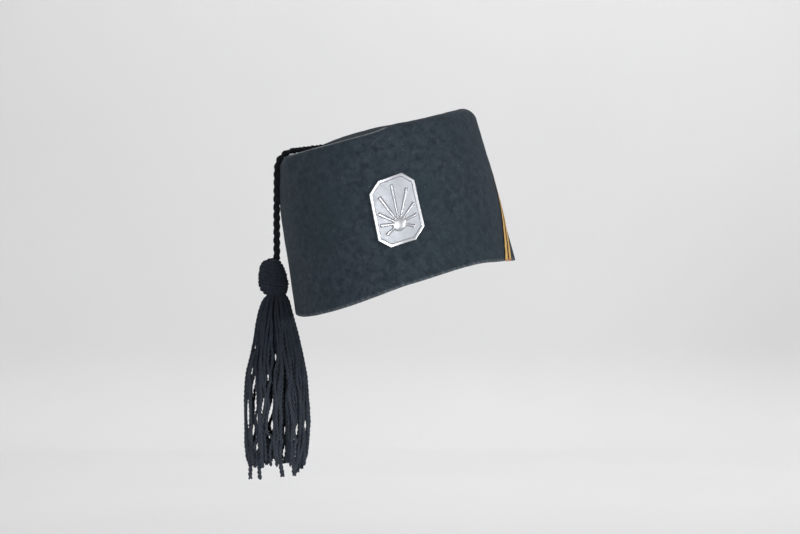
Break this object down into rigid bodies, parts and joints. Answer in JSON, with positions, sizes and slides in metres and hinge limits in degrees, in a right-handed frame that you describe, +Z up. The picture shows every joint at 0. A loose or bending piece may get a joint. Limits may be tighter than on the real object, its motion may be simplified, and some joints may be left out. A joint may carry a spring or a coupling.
{
  "type": "fez hat",
  "caption": "Leaning felt fez with a dished top, a plaited cord and long yarn tassel at one side, a metal badge on the front and a striped ribbon on the other side.",
  "frame": {"origin": "middle of the rim's plane, where the hat sits on a head", "axes": "+X towards the wearer's left, +Y towards the back of the head, +Z up as worn; the crown leans 13.5 degrees to the wearer's right about Y"},
  "size_m": [0.203, 0.202, 0.2772],
  "materials": {
    "felt": "dark slate wool felt, matt with a soft nap",
    "badge_metal": "silver coloured, satin to polished",
    "pin_metal": "plain",
    "ribbon_weave": "ribbed weave, gold with a dark brown middle stripe",
    "cord_yarn": "black plaited yarn",
    "tassel_yarn": "blue-black wool yarn"
  },
  "bodies": {
    "root": {"crown": "felt", "badge": "badge_metal", "badge_pin": "pin_metal", "ribbon": "ribbon_weave", "cord_knot": "cord_yarn", "tassel_cord": "cord_yarn", "tassel": "tassel_yarn"}
  },
  "joints": []
}
